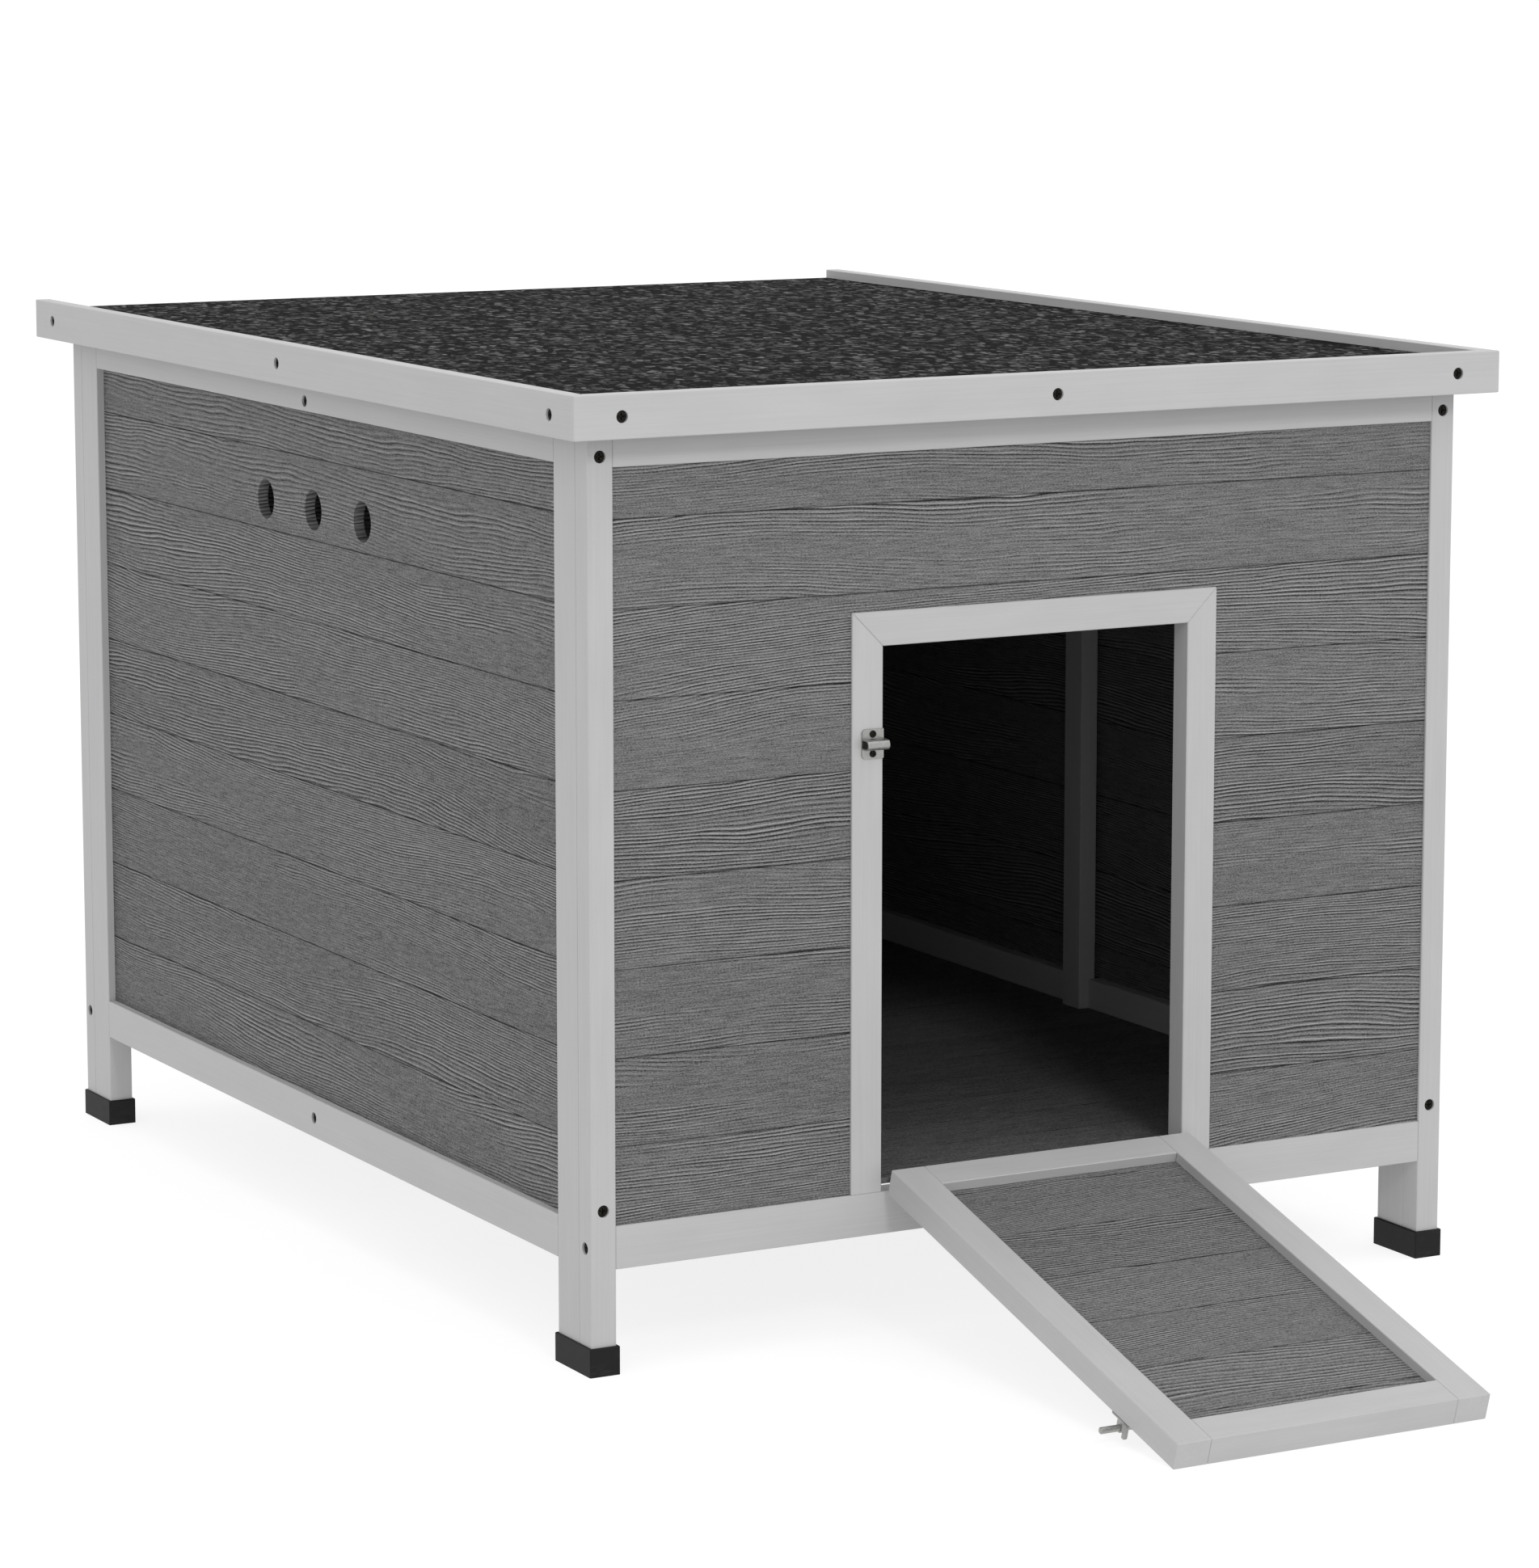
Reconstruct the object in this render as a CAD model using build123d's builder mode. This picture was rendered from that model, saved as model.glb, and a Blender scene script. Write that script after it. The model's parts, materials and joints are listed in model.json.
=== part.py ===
"""Small framed animal hutch with a drop-down ramp door, three vents and a lift-up felted roof.

Millimetres. +X to the right, +Y from the doorway to the back wall, +Z up. The origin is on the ground,
under the middle of the whole object as it stands with its ramp down.
"""
from build123d import *
import math
import os

os.makedirs("parts", exist_ok=True)

# ---------------------------------------------------------------- overall sizes
house_width = 700.0      # outside of the wall frames, along X
house_depth = 920.0      # outside of the wall frames, along Y
wall_top = 649.0         # top of the wall frames above the ground
leg_clear = 73.0         # underside of the bottom rails above the ground

# ---------------------------------------------------------------- timber
post_width = 19.0        # posts and side frames, along X
post_depth = 18.0        # front and rear frames, along Y
stile_depth = 32.0       # upright ends of the side frames, along Y
rail_height = 30.0
stud_width = 25.0        # middle stud of a side wall, along Y
stud_depth = 15.0        # the same stud, along X
eased_edge = 0.5         # chamfer on every timber edge

# ---------------------------------------------------------------- wall boards
board_thickness = 8.0
front_recess = 2.0       # front and rear boards behind the face of their frames
side_recess = 6.0        # side boards behind the face of their frames
board_tongue = 4.5       # how far the boards reach into the grooves
board_play = 0.5         # room for the boards to swell in a groove
seam_pitch = 61.0        # spacing of the grooves cut across the boards
first_seam = 35.0        # from the top of the visible board to the first one
seam_width = 1.0
seam_depth = 0.7
vent_diameter = 30.0
vent_pitch = 87.0
vent_drop = 73.5         # vent centres below the underside of the top rail

# ---------------------------------------------------------------- floor
floor_thickness = 4.0    # lies on the bottom rails
floor_play = 0.5         # round the floor, to the boards, posts and jambs
batten_thickness = 11.0  # battens on the floor along the side boards, along X
batten_height = 24.0

# ---------------------------------------------------------------- doorway
door_width = 248.0
door_height = 383.0
trim_width = 24.0

# ---------------------------------------------------------------- foot caps
cap_height = 20.0
cap_wall = 2.0
cap_sole = 3.0

# ---------------------------------------------------------------- roof
side_overhang = 22.0     # face of the fascia outside the side walls
end_overhang = 24.0      # front fascia face, and rear roof edge, outside the walls
fascia_thickness = 12.0
fascia_height = 30.0
fascia_drop = 9.0        # fascia below the underside of the roof board
roof_thickness = 12.0
felt_thickness = 2.0

# ---------------------------------------------------------------- ramp door
ramp_gap = 1.5           # round the closed door
ramp_thickness = 19.0
ramp_stile = 26.0        # width of the long bars
ramp_rail = 26.0         # width of the cross bars
ramp_board = 6.0
ramp_board_recess = 7.0  # board below the inner face of the door
ramp_first_seam = 42.5   # from the outer edge of the door to the first seam of its board

# ---------------------------------------------------------------- butt hinges
hinge_length = 38.0
hinge_leaf = 1.2
hinge_reach = 18.0       # from the pin to the edge of a leaf
knuckle_radius = 2.5
pin_radius = 1.2
pin_play = 0.05          # radial running fit
knuckle_play = 0.3       # between the knuckles, and round them
hinge_inset = 30.0       # ramp hinges: end of the hinge from the edge of the door
roof_hinge_inset = 90.0  # roof hinges: end of the hinge from the side of the house
ramp_pin_drop = 2.0      # ramp pins below the sill

# ---------------------------------------------------------------- sliding latch
latch_height = 316.0     # bolt above the sill, door closed
rod_radius = 2.3
rod_play = 0.08          # radial running fit in the straps
rod_stand = 6.5          # axis of the rod above its plate's back
rod_reach = 14.5         # rod beyond the edge of the door when shot
latch_plate = 1.2
latch_length = 24.5      # latch plate, along the rod
latch_width = 25.0
strap_width = 3.0
strap_wall = 0.9
strap_flank = 0.5        # side play of the rod in the keeper
knob_radius = 2.0
knob_reach = 9.0
knob_play = 0.5          # knob to strap at both ends of its travel
keeper_length = 17.0
keeper_width = 20.5
keeper_corner = 3.0

# ---------------------------------------------------------------- screws
screw_head_radius = 3.9
screw_head = 2.4
screw_shank_radius = 1.9
screw_sink = 1.5         # top of the head below the wood
screw_play = 0.1
sink_radius = 4.3
recess_length = 4.6
recess_width = 1.1
recess_depth = 1.3
frame_screw = 31.0       # full lengths
fascia_screw = 30.0
stud_screw = 30.0
fascia_screw_inset = 36.0
top_screw_drop = 7.0     # screws through the posts into the top rails, below the top of the frames
upper_screw_rise = 7.5   # upper corner and stud screws above the underside of the top rails
lower_screw_rise = 11.5  # lower corner screws above the top of the bottom rails
fitting_head_radius = 2.6
fitting_head = 1.1
fitting_taper = 25.0     # slope of the head's side, in degrees
fitting_shank_radius = 1.3
fitting_screw = 10.0

# ---------------------------------------------------------------- levels and faces worked out from the above
rail_top = leg_clear + rail_height
board_top = wall_top - rail_height
sill = rail_top
floor_top = rail_top + floor_thickness
roof_under = wall_top
roof_top = roof_under + roof_thickness
fascia_low = roof_under - fascia_drop
half_width = house_width / 2
inner_width = half_width - post_width

door_half = door_width / 2
trim_half = door_half + trim_width
head_under = sill + door_height
head_top = head_under + trim_width

# The ramp turns about pins just in front of the sill and comes to rest with its outer edge on the ground.
ramp_length = door_height - 2 * ramp_gap
ramp_near = ramp_pin_drop + ramp_gap
ramp_far = ramp_near + ramp_length
pin_stand = knuckle_radius
pin_level = sill - ramp_pin_drop
ramp_slope = math.degrees(
    math.asin(pin_level / math.hypot(ramp_far, pin_stand)) + math.atan2(pin_stand, ramp_far)
)
slope_cos = math.cos(math.radians(ramp_slope))
slope_sin = math.sin(math.radians(ramp_slope))
ramp_reach = pin_stand + ramp_far * slope_cos + (pin_stand + ramp_thickness) * slope_sin

# The origin is under the middle of everything, from the ramp's edge to the rear edge of the roof.
front = (ramp_reach - house_depth - end_overhang) / 2
rear = front + house_depth
middle = (front + rear) / 2
side_start = front + post_depth + stile_depth
side_end = rear - post_depth - stile_depth


# ---------------------------------------------------------------- helpers
def bar(x, y, z, mode=Mode.ADD):
    """A rectangular block between the given low and high limits on each axis."""
    with Locations((sum(x) / 2, sum(y) / 2, sum(z) / 2)):
        Box(abs(x[1] - x[0]), abs(y[1] - y[0]), abs(z[1] - z[0]), mode=mode)


def ease(part):
    """Take the sharpness off every edge of a fresh timber."""
    chamfer(part.edges(), eased_edge)


def sink_screws(places, length):
    """Cut counterbores and shank holes at planes that stand on the wood and look out of it."""
    with BuildSketch(*places) as counterbore:
        Circle(sink_radius)
    extrude(counterbore.sketch, amount=-screw_sink - screw_head, mode=Mode.SUBTRACT)
    with BuildSketch(*places) as hole:
        Circle(screw_shank_radius + screw_play)
    extrude(hole.sketch, amount=-screw_sink - length - screw_play, mode=Mode.SUBTRACT)


def drive_screws(places, length):
    """Cross-head screws lying in the holes that sink_screws cuts."""
    tops = [place.offset(-screw_sink) for place in places]
    with BuildSketch(*tops) as head:
        Circle(screw_head_radius)
    extrude(head.sketch, amount=-screw_head)
    with BuildSketch(*tops) as shank:
        Circle(screw_shank_radius)
    extrude(shank.sketch, amount=-length)
    with BuildSketch(*tops) as recess:
        Rectangle(recess_length, recess_width)
        Rectangle(recess_width, recess_length)
    extrude(recess.sketch, amount=-recess_depth, mode=Mode.SUBTRACT)


def drill_fittings(places):
    """Pilot holes in wood, and clearance in metal, for the small screws of hinges and latch."""
    with BuildSketch(*places) as hole:
        Circle(fitting_shank_radius + screw_play)
    extrude(hole.sketch, amount=-fitting_screw - screw_play, mode=Mode.SUBTRACT)


def drive_fittings(places):
    """Small round-head screws, heads on the metal and shanks in the wood."""
    with BuildSketch(*places) as head:
        Circle(fitting_head_radius)
    extrude(head.sketch, amount=fitting_head, taper=fitting_taper)
    with BuildSketch(*places) as shank:
        Circle(fitting_shank_radius)
    extrude(shank.sketch, amount=-fitting_screw)
    with BuildSketch(*[place.offset(fitting_head) for place in places]) as recess:
        Rectangle(fitting_head_radius, recess_width / 2)
        Rectangle(recess_width / 2, fitting_head_radius)
    extrude(recess.sketch, amount=-fitting_head / 2, mode=Mode.SUBTRACT)


def keep(builder, name):
    """Label a finished piece and write it out."""
    builder.part.label = name
    export_step(builder.part, f"parts/{name}.step")


# ---------------------------------------------------------------- where the screws go
side_names = {"left": -1, "right": 1}
bottom_rail_level = leg_clear + rail_height / 2
rail_levels = [bottom_rail_level, wall_top - top_screw_drop]
stud_levels = [bottom_rail_level, board_top + upper_screw_rise]
corner_levels = [rail_top + lower_screw_rise, board_top + upper_screw_rise]
post_ys = {"front": front + post_depth / 2, "rear": rear - post_depth / 2}


def side_plane(side, y, z, x=half_width):
    """A plane on the outer face of a side wall, looking out."""
    return Plane(origin=(side * x, y, z), x_dir=(0, side, 0), z_dir=(side, 0, 0))


def end_plane(end, x, z, y=None):
    """A plane on the front or rear face of the house, looking out."""
    out = -1 if end == "front" else 1
    face = {"front": front, "rear": rear}[end] if y is None else y
    return Plane(origin=(x, face, z), x_dir=(-out, 0, 0), z_dir=(0, out, 0))


frame_screw_places = [
    side_plane(side, y, z) for side in side_names.values() for y in post_ys.values() for z in rail_levels
]
corner_screw_places = [
    end_plane(end, side * (half_width - post_width / 2), z)
    for end in post_ys
    for side in side_names.values()
    for z in corner_levels
]
stud_screw_places = [side_plane(side, middle, z) for side in side_names.values() for z in stud_levels]

# ---------------------------------------------------------------- where the hinges go
# Pin planes of the hinges: x along the pin, z out of the face that carries the fixed leaf.
ramp_hinge_x = door_half - ramp_gap - hinge_inset - hinge_length / 2
ramp_pins = [
    Plane(origin=(side * ramp_hinge_x, front - pin_stand, pin_level), x_dir=(1, 0, 0), z_dir=(0, -1, 0))
    for side in side_names.values()
]
roof_hinge_x = half_width - roof_hinge_inset - hinge_length / 2
roof_pins = [
    Plane(
        origin=(side * roof_hinge_x, rear + knuckle_radius, roof_under - knuckle_radius),
        x_dir=(-1, 0, 0),
        z_dir=(0, 1, 0),
    )
    for side in side_names.values()
]
leaf_top = hinge_leaf - pin_stand
screw_line = (knuckle_radius + hinge_reach) / 2


def leaf_screw_places(pins, up):
    """Two screws through every leaf, standing on the leaf's outer face."""
    return [
        Plane(
            origin=pin.from_local_coords((offset, up * screw_line, leaf_top)), x_dir=pin.x_dir, z_dir=pin.z_dir
        )
        for pin in pins
        for offset in (-hinge_length / 3, hinge_length / 3)
    ]


ramp_fixed_screws = leaf_screw_places(ramp_pins, -1)
roof_fixed_screws = leaf_screw_places(roof_pins, -1)

# ---------------------------------------------------------------- outlines of the boards and their grooves
end_board_y = {
    "front": (front + front_recess, front + front_recess + board_thickness),
    "rear": (rear - front_recess - board_thickness, rear - front_recess),
}
groove_reach = board_tongue + board_play
board_low = rail_top - board_tongue


def board_groove(side_to_side, y):
    """Groove for a front or rear board: snug through the thickness, with play at its edges."""
    x = (side_to_side[0] - board_play, side_to_side[1] + board_play)
    bar(x, y, (board_low, board_top + groove_reach), mode=Mode.SUBTRACT)


def seam_levels(first, low):
    """Levels of the seams on a board, at the seam pitch from the first one down to its lower edge."""
    return [first - number * seam_pitch for number in range(int((first - low) // seam_pitch) + 1)]


def cut_seams(faces, levels, half_length):
    """V-shaped seams across a board, one at every level.

    Each face is a plane across the middle of the board, with its origin in that face, its x axis
    pointing out of the board and its y axis along the levels.
    """
    with BuildSketch(*faces) as seams:
        for level in levels:
            with BuildLine():
                Polyline(
                    (0, level - seam_width / 2),
                    (-seam_depth, level),
                    (0, level + seam_width / 2),
                    close=True,
                )
            make_face()
    extrude(seams.sketch, amount=half_length, both=True, mode=Mode.SUBTRACT)


wall_seams = seam_levels(board_top - first_seam, rail_top)

# ================================================================ front and rear frames
for end in ("front", "rear"):
    near, far = (front, front + post_depth) if end == "front" else (rear - post_depth, rear)
    board_y = end_board_y[end]
    board_x = (-inner_width - board_tongue, inner_width + board_tongue)

    for side_name, side in side_names.items():
        with BuildPart() as post:
            bar((side * inner_width, side * half_width), (near, far), (cap_sole, wall_top))
            ease(post)
            board_groove(board_x, board_y)
            sink_screws(frame_screw_places, frame_screw)
            sink_screws(corner_screw_places, frame_screw)
        keep(post, f"{end}_post_{side_name}")

    with BuildPart() as top_rail:
        bar((-inner_width, inner_width), (near, far), (board_top, wall_top))
        ease(top_rail)
        board_groove(board_x, board_y)
        sink_screws(frame_screw_places, frame_screw)
        drill_fittings(roof_fixed_screws)
    keep(top_rail, f"{end}_top_rail")

    with BuildPart() as bottom_rail:
        bar((-inner_width, inner_width), (near, far), (leg_clear, rail_top))
        ease(bottom_rail)
        if end == "front":
            for side in side_names.values():
                ends = sorted((side * (trim_half - board_tongue), side * (inner_width + board_tongue)))
                board_groove(ends, board_y)
        else:
            board_groove(board_x, board_y)
        sink_screws(frame_screw_places, frame_screw)
        drill_fittings(ramp_fixed_screws)
    keep(bottom_rail, f"{end}_bottom_rail")

# ---------------------------------------------------------------- front and rear boards


def end_faces(y):
    """The two faces of a front or rear board, for its seams."""
    return [
        Plane(origin=(0, y[0], 0), x_dir=(0, -1, 0), z_dir=(-1, 0, 0)),
        Plane(origin=(0, y[1], 0), x_dir=(0, 1, 0), z_dir=(1, 0, 0)),
    ]


with BuildPart() as front_board:
    bar((-inner_width - board_tongue, inner_width + board_tongue), end_board_y["front"],
        (board_low, board_top + board_tongue))
    cut_seams(end_faces(end_board_y["front"]), wall_seams, half_width)
    doorway = trim_half - board_tongue
    bar((-doorway, doorway), end_board_y["front"], (board_low, head_top - board_tongue), mode=Mode.SUBTRACT)
keep(front_board, "front_board")

with BuildPart() as rear_board:
    bar((-inner_width - board_tongue, inner_width + board_tongue), end_board_y["rear"],
        (board_low, board_top + board_tongue))
    cut_seams(end_faces(end_board_y["rear"]), wall_seams, half_width)
keep(rear_board, "rear_board")

# ---------------------------------------------------------------- doorway trim, mitred at the top corners
keeper_level = sill + latch_height
keeper_x = -door_half - keeper_length / 2
keeper_screw_places = [
    end_plane("front", keeper_x, keeper_level + offset, front - latch_plate)
    for offset in (-keeper_width / 3, keeper_width / 3)
]
board_edge = trim_half - groove_reach
head_groove = head_top - groove_reach


def trim_groove():
    """Groove round the outside of the doorway trim for the front board."""
    y = end_board_y["front"]
    for side in side_names.values():
        bar((side * board_edge, side * half_width), y, (board_low, wall_top), mode=Mode.SUBTRACT)
    bar((-half_width, half_width), y, (head_groove, wall_top), mode=Mode.SUBTRACT)


for side_name, side in side_names.items():
    with BuildPart() as jamb:
        with BuildSketch(Plane.XZ.offset(-front)):
            with BuildLine():
                Polyline(
                    (side * door_half, sill),
                    (side * trim_half, sill),
                    (side * trim_half, head_top),
                    (side * door_half, head_under),
                    close=True,
                )
            make_face()
        extrude(amount=-post_depth)
        ease(jamb)
        trim_groove()
        drill_fittings(keeper_screw_places)
    keep(jamb, f"door_jamb_{side_name}")

with BuildPart() as head:
    with BuildSketch(Plane.XZ.offset(-front)):
        with BuildLine():
            Polyline(
                (-door_half, head_under),
                (door_half, head_under),
                (trim_half, head_top),
                (-trim_half, head_top),
                close=True,
            )
        make_face()
    extrude(amount=-post_depth)
    ease(head)
    trim_groove()
keep(head, "door_head")

# ================================================================ side walls
side_board_y = (side_start - board_tongue, side_end + board_tongue)
side_board_x = (half_width - side_recess - board_thickness, half_width - side_recess)
stud_y = (middle - stud_width / 2, middle + stud_width / 2)


def side_groove(side):
    """Groove for a side board: snug through the thickness, with play at its edges."""
    x = (side * side_board_x[0], side * side_board_x[1])
    y = (side_board_y[0] - board_play, side_board_y[1] + board_play)
    bar(x, y, (board_low, board_top + groove_reach), mode=Mode.SUBTRACT)


for side_name, side in side_names.items():
    x = (side * inner_width, side * half_width)
    stiles = {"front": (front + post_depth, side_start), "rear": (side_end, rear - post_depth)}
    for end, y in stiles.items():
        with BuildPart() as stile:
            bar(x, y, (cap_sole, wall_top))
            ease(stile)
            side_groove(side)
            sink_screws(corner_screw_places, frame_screw)
        keep(stile, f"{side_name}_{end}_stile")

    with BuildPart() as side_top_rail:
        bar(x, (side_start, side_end), (board_top, wall_top))
        ease(side_top_rail)
        side_groove(side)
        sink_screws(stud_screw_places, stud_screw)
    keep(side_top_rail, f"{side_name}_top_rail")

    with BuildPart() as side_bottom_rail:
        bar(x, (side_start, side_end), (leg_clear, rail_top))
        ease(side_bottom_rail)
        side_groove(side)
        sink_screws(stud_screw_places, stud_screw)
    keep(side_bottom_rail, f"{side_name}_bottom_rail")

    with BuildPart() as stud:
        bar((side * (inner_width - stud_depth), side * inner_width), stud_y, (floor_top, wall_top))
        ease(stud)
        sink_screws(stud_screw_places, stud_screw)
    keep(stud, f"{side_name}_middle_stud")

    side_faces = [
        Plane(origin=(side * side_board_x[1], middle, 0), x_dir=(side, 0, 0), z_dir=(0, -side, 0)),
        Plane(origin=(side * side_board_x[0], middle, 0), x_dir=(-side, 0, 0), z_dir=(0, side, 0)),
    ]
    with BuildPart() as side_board:
        bar((side * side_board_x[0], side * side_board_x[1]), side_board_y,
            (board_low, board_top + board_tongue))
        cut_seams(side_faces, wall_seams, house_depth / 2)
        if side_name == "left":
            with Locations(side_plane(side, middle, board_top - vent_drop)):
                with GridLocations(vent_pitch, 0, 3, 1):
                    Hole(vent_diameter / 2)
    keep(side_board, f"{side_name}_board")

# ================================================================ floor on the bottom rails
floor_z = (rail_top, floor_top)
with BuildPart() as floor:
    bar((-inner_width + floor_play, inner_width - floor_play),
        (end_board_y["front"][1] + floor_play, end_board_y["rear"][0] - floor_play), floor_z)
    bar((-side_board_x[0] + floor_play, side_board_x[0] - floor_play),
        (side_start + floor_play, side_end - floor_play), floor_z)
    bar((-trim_half - floor_play, trim_half + floor_play),
        (front, front + ramp_thickness + ramp_gap), floor_z, mode=Mode.SUBTRACT)
keep(floor, "floor_panel")

with BuildPart() as bearer:
    bar((-inner_width, inner_width), stud_y, (leg_clear, rail_top))
    ease(bearer)
    sink_screws(stud_screw_places, stud_screw)
keep(bearer, "floor_bearer")

for side_name, side in side_names.items():
    with BuildPart() as battens:
        for y in ((side_start, stud_y[0]), (stud_y[1], side_end)):
            bar((side * (side_board_x[0] - batten_thickness), side * side_board_x[0]), y,
                (floor_top, floor_top + batten_height))
        ease(battens)
    keep(battens, f"{side_name}_battens")

# ================================================================ foot caps
for end, (low, high) in {"front": (front, side_start), "rear": (side_end, rear)}.items():
    for side_name, side in side_names.items():
        with BuildPart() as cap:
            bar((side * (inner_width - cap_wall), side * (half_width + cap_wall)),
                (low - cap_wall, high + cap_wall), (0, cap_height))
            fillet(cap.edges().filter_by(Axis.Z), cap_wall / 2)
            chamfer(cap.faces().sort_by(Axis.Z)[-1].edges(), eased_edge)
            bar((side * inner_width, side * half_width), (low, high), (cap_sole, cap_height),
                mode=Mode.SUBTRACT)
        keep(cap, f"foot_cap_{end}_{side_name}")

# ================================================================ screws of the house
with BuildPart() as frame_screws:
    drive_screws(frame_screw_places + corner_screw_places, frame_screw)
keep(frame_screws, "frame_screws")

with BuildPart() as stud_screws:
    drive_screws(stud_screw_places, stud_screw)
keep(stud_screws, "stud_screws")

# ================================================================ keeper of the latch
strap_outer = rod_radius + strap_flank + strap_wall
with BuildPart() as keeper:
    with BuildSketch(end_plane("front", keeper_x, keeper_level)):
        Rectangle(keeper_length, keeper_width)
        fillet(vertices().group_by(Axis.X)[0], keeper_corner)
    extrude(amount=latch_plate)
    with BuildSketch(side_plane(1, front, keeper_level, keeper_x - keeper_length / 2)):
        with Locations((-rod_stand, 0)):
            Circle(strap_outer)
        with Locations((-rod_stand / 2, 0)):
            Rectangle(rod_stand, 2 * strap_outer)
    extrude(amount=keeper_length)
    with BuildSketch(side_plane(1, front, keeper_level, keeper_x - keeper_length / 2)):
        with Locations((-rod_stand, 0)):
            Circle(rod_radius + strap_flank)
        with Locations(((-rod_stand - latch_plate) / 2, 0)):
            Rectangle(rod_stand - latch_plate, 2 * (rod_radius + strap_flank))
    extrude(amount=keeper_length, mode=Mode.SUBTRACT)
    drill_fittings(keeper_screw_places)
keep(keeper, "latch_keeper")

with BuildPart() as keeper_screws:
    drive_fittings(keeper_screw_places)
keep(keeper_screws, "keeper_screws")

# ================================================================ ramp door, laid out in the plane it swings in
# Local x is across the ramp, y runs from the pins to the outer edge, z looks out of the weather side.
ramp_plane = Plane(
    origin=(0, front - pin_stand, pin_level), x_dir=(1, 0, 0), z_dir=(0, slope_sin, -slope_cos)
)
ramp_half = door_half - ramp_gap
ramp_face = -pin_stand
ramp_back = ramp_face - ramp_thickness
ramp_inner = ramp_half - ramp_stile
ramp_board_z = (ramp_back + ramp_board_recess, ramp_back + ramp_board_recess + ramp_board)
latch_line = latch_height + ramp_pin_drop


def ramp_bar(x, y, z, mode=Mode.ADD):
    """A rectangular block in the ramp's own directions, between low and high limits."""
    with BuildSketch(ramp_plane.offset(z[0])) as outline:
        with Locations((sum(x) / 2, sum(y) / 2)):
            Rectangle(abs(x[1] - x[0]), abs(y[1] - y[0]))
    extrude(outline.sketch, amount=z[1] - z[0], mode=mode)


def ramp_groove():
    """Groove for the ramp's board, snug through its thickness, with play at its edges."""
    reach = ramp_inner + groove_reach
    y = (ramp_near + ramp_rail - groove_reach, ramp_far - ramp_rail + groove_reach)
    ramp_bar((-reach, reach), y, ramp_board_z, mode=Mode.SUBTRACT)


def on_ramp(x, y, z):
    """A plane on the ramp's weather side, with the ramp's own directions."""
    return Plane(
        origin=ramp_plane.from_local_coords((x, y, z)), x_dir=ramp_plane.x_dir, z_dir=ramp_plane.z_dir
    )


ramp_leaf_pins = [on_ramp(side * ramp_hinge_x, 0, 0) for side in side_names.values()]
ramp_moving_screws = leaf_screw_places(ramp_leaf_pins, 1)
latch_x = -ramp_half + latch_length / 2
latch_screw_places = [
    on_ramp(latch_x, latch_line + offset, ramp_face + latch_plate)
    for offset in (-latch_width / 3, latch_width / 3)
]

for side_name, side in side_names.items():
    with BuildPart() as ramp_side:
        ramp_bar((side * ramp_inner, side * ramp_half), (ramp_near, ramp_far), (ramp_back, ramp_face))
        ease(ramp_side)
        ramp_groove()
        drill_fittings(latch_screw_places)
        drill_fittings(ramp_moving_screws)
    keep(ramp_side, f"ramp_stile_{side_name}")

cross_bars = {"hinge": (ramp_near, ramp_near + ramp_rail), "outer": (ramp_far - ramp_rail, ramp_far)}
for place, y in cross_bars.items():
    with BuildPart() as cross_bar:
        ramp_bar((-ramp_inner, ramp_inner), y, (ramp_back, ramp_face))
        ease(cross_bar)
        ramp_groove()
        drill_fittings(ramp_moving_screws)
    keep(cross_bar, f"ramp_{place}_rail")

ramp_seams = seam_levels(ramp_far - ramp_first_seam, ramp_near + ramp_rail)
ramp_faces = [
    Plane(
        origin=ramp_plane.from_local_coords((0, 0, z)),
        x_dir=out * ramp_plane.z_dir,
        z_dir=-out * ramp_plane.x_dir,
    )
    for z, out in zip(ramp_board_z, (-1, 1))
]
with BuildPart() as ramp_panel:
    reach = ramp_inner + board_tongue
    ramp_bar((-reach, reach), (ramp_near + ramp_rail - board_tongue, ramp_far - ramp_rail + board_tongue),
             ramp_board_z)
    cut_seams(ramp_faces, ramp_seams, ramp_half)
keep(ramp_panel, "ramp_board")


# ================================================================ butt hinges
def hinge_leaves(pins, up, middle_knuckle):
    """One leaf on every pin plane. The leaf lies up or down from the pin, on the face behind it.

    A leaf owns either the middle knuckle or the two outer ones, and clears the others.
    """
    third = hinge_length / 3
    own = [0] if middle_knuckle else [-third, third]
    others = [-third, third] if middle_knuckle else [0]
    with BuildSketch(*[pin.offset(-pin_stand) for pin in pins]) as plate:
        with Locations((0, up * hinge_reach / 2)):
            Rectangle(hinge_length, hinge_reach)
    extrude(plate.sketch, amount=hinge_leaf)
    cross = [Plane(origin=pin.origin, x_dir=pin.z_dir, z_dir=pin.x_dir) for pin in pins]
    for offset in others:
        with BuildSketch(*[plane.offset(offset) for plane in cross]) as room:
            Circle(knuckle_radius + knuckle_play)
        extrude(room.sketch, amount=third / 2 + knuckle_play / 2, both=True, mode=Mode.SUBTRACT)
    for offset in own:
        with BuildSketch(*[plane.offset(offset) for plane in cross]) as knuckle:
            Circle(knuckle_radius)
        extrude(knuckle.sketch, amount=third / 2 - knuckle_play / 2, both=True)
    with BuildSketch(*cross) as bore:
        Circle(pin_radius + pin_play)
    extrude(bore.sketch, amount=hinge_length, both=True, mode=Mode.SUBTRACT)


def hinge_pins(pins):
    """A plain pin through the knuckles on every pin plane."""
    cross = [Plane(origin=pin.origin, x_dir=pin.z_dir, z_dir=pin.x_dir) for pin in pins]
    with BuildSketch(*cross) as pin_end:
        Circle(pin_radius)
    extrude(pin_end.sketch, amount=hinge_length / 2, both=True)


with BuildPart() as ramp_fixed_leaves:
    hinge_leaves(ramp_pins, -1, middle_knuckle=False)
    drill_fittings(ramp_fixed_screws)
keep(ramp_fixed_leaves, "ramp_hinge_fixed_leaves")

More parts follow.
